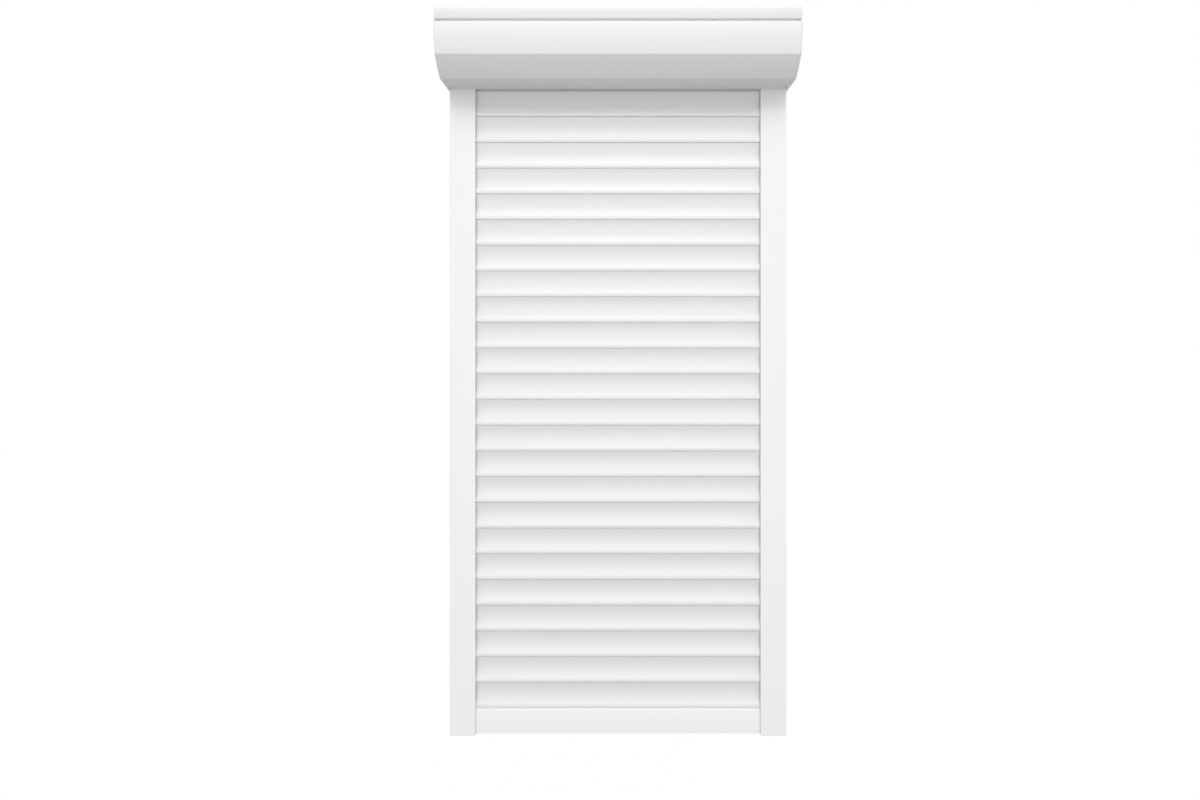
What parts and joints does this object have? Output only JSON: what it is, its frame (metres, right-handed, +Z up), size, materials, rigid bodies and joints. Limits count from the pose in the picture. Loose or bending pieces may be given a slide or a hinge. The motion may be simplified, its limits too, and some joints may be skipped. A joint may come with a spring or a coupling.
{
  "type": "exterior roller shutter",
  "caption": "Wall-mounted exterior roller shutter: hooked slats run down two guide rails from a roll box with a tube motor, closed by a bottom bar.",
  "frame": {"origin": "on the wall plane, midway between the two guide rails, at the level of the sill on which they stand", "axes": "+X to the right seen from the street, +Y from the street into the wall, +Z up; the street side looks towards -Y"},
  "size_m": [1.21, 0.206, 2.5076],
  "materials": {
    "slat_aluminium": "off-white baked enamel, satin",
    "bar_aluminium": "off-white powder coat, satin",
    "rail_aluminium": "off-white powder coat, satin",
    "box_aluminium": "off-white baked enamel, satin",
    "cap_aluminium": "die-cast, off-white powder coat",
    "grey_nylon": "moulded nylon",
    "pale_plastic": "moulded plastic",
    "black_plastic": "glass-filled nylon, moulded",
    "grey_seal": "extruded soft seal",
    "black_rubber": "extruded rubber",
    "zinc_steel": "hot-dip zinc coated steel",
    "motor_steel": "plated steel tube",
    "bright_steel": "ground or zinc plated steel",
    "spring_steel": "blued spring steel"
  },
  "bodies": {
    "casing": {"rail_base_left": "rail_aluminium", "rail_base_right": "rail_aluminium", "rail_cover_left": "rail_aluminium", "rail_cover_right": "rail_aluminium", "rail_seals_left": "grey_seal", "rail_seals_right": "grey_seal", "rail_feet": "pale_plastic", "inlet_guide_left": "grey_nylon", "inlet_guide_right": "grey_nylon", "roller_pins": "bright_steel", "box_top_back_panel": "box_aluminium", "front_panel": "box_aluminium", "end_cap_left": "cap_aluminium", "end_cap_right": "cap_aluminium", "box_screws": "bright_steel", "motor_bracket": "zinc_steel", "motor_head": "black_plastic", "motor_body": "motor_steel", "cable_grommet": "black_rubber", "bearing_outer_ring": "bright_steel", "bearing_balls": "bright_steel", "bearing_holder": "zinc_steel"},
    "curtain": {"slat_01": "slat_aluminium", "slat_02": "slat_aluminium", "slat_03": "slat_aluminium", "slat_04": "slat_aluminium", "slat_05": "slat_aluminium", "slat_06": "slat_aluminium", "slat_07": "slat_aluminium", "slat_08": "slat_aluminium", "slat_09": "slat_aluminium", "slat_10": "slat_aluminium", "slat_11": "slat_aluminium", "slat_12": "slat_aluminium", "slat_13": "slat_aluminium", "slat_14": "slat_aluminium", "slat_15": "slat_aluminium", "slat_16": "slat_aluminium", "slat_17": "slat_aluminium", "slat_18": "slat_aluminium", "slat_19": "slat_aluminium", "slat_20": "slat_aluminium", "slat_21": "slat_aluminium", "slat_22": "slat_aluminium", "slat_23": "slat_aluminium", "slat_24": "slat_aluminium", "entry_slat": "slat_aluminium", "slat_end_locks": "grey_nylon", "bottom_bar": "bar_aluminium", "bar_seal": "black_rubber", "bar_end_glides": "grey_nylon"},
    "shaft": {"roller_tube": "zinc_steel", "hanger_strips": "spring_steel", "motor_crown": "black_plastic", "drive_adaptor": "black_plastic", "tube_end_plug": "black_plastic", "idler_pin": "bright_steel", "bearing_inner_ring": "bright_steel"},
    "right_inlet_roller": {"inlet_roller_right": "grey_nylon"},
    "left_inlet_roller": {"inlet_roller_left": "grey_nylon"}
  },
  "joints": [
    {"name": "curtain_lift", "type": "slide", "parent": "casing", "child": "curtain", "axis": [0, 0, 1], "range_m": [0, 2.2095], "deforming": ["slat_01", "slat_02", "slat_03", "slat_04", "slat_05", "slat_06", "slat_07", "slat_08", "slat_09", "slat_10", "slat_11", "slat_12", "slat_13", "slat_14", "slat_15", "slat_16", "slat_17", "slat_18", "slat_19", "slat_20", "slat_21", "slat_22", "slat_23", "slat_24", "entry_slat", "slat_end_locks"]},
    {"name": "shaft_spin", "type": "hinge", "parent": "casing", "child": "shaft", "pos_m": [0, -0.1025, 2.4025], "axis": [1, 0, 0], "range_deg": [0, 1910]},
    {"name": "right_inlet_roller_spin", "type": "hinge", "parent": "casing", "child": "right_inlet_roller", "pos_m": [0.54, -0.03306, 2.31189], "axis": [1, 0, 0], "continuous": true},
    {"name": "left_inlet_roller_spin", "type": "hinge", "parent": "casing", "child": "left_inlet_roller", "pos_m": [-0.54, -0.03306, 2.31189], "axis": [1, 0, 0], "continuous": true}
  ],
  "couplings": [
    {"joint": "shaft_spin", "follows": "curtain_lift", "rad_per_m": 15.07}
  ]
}
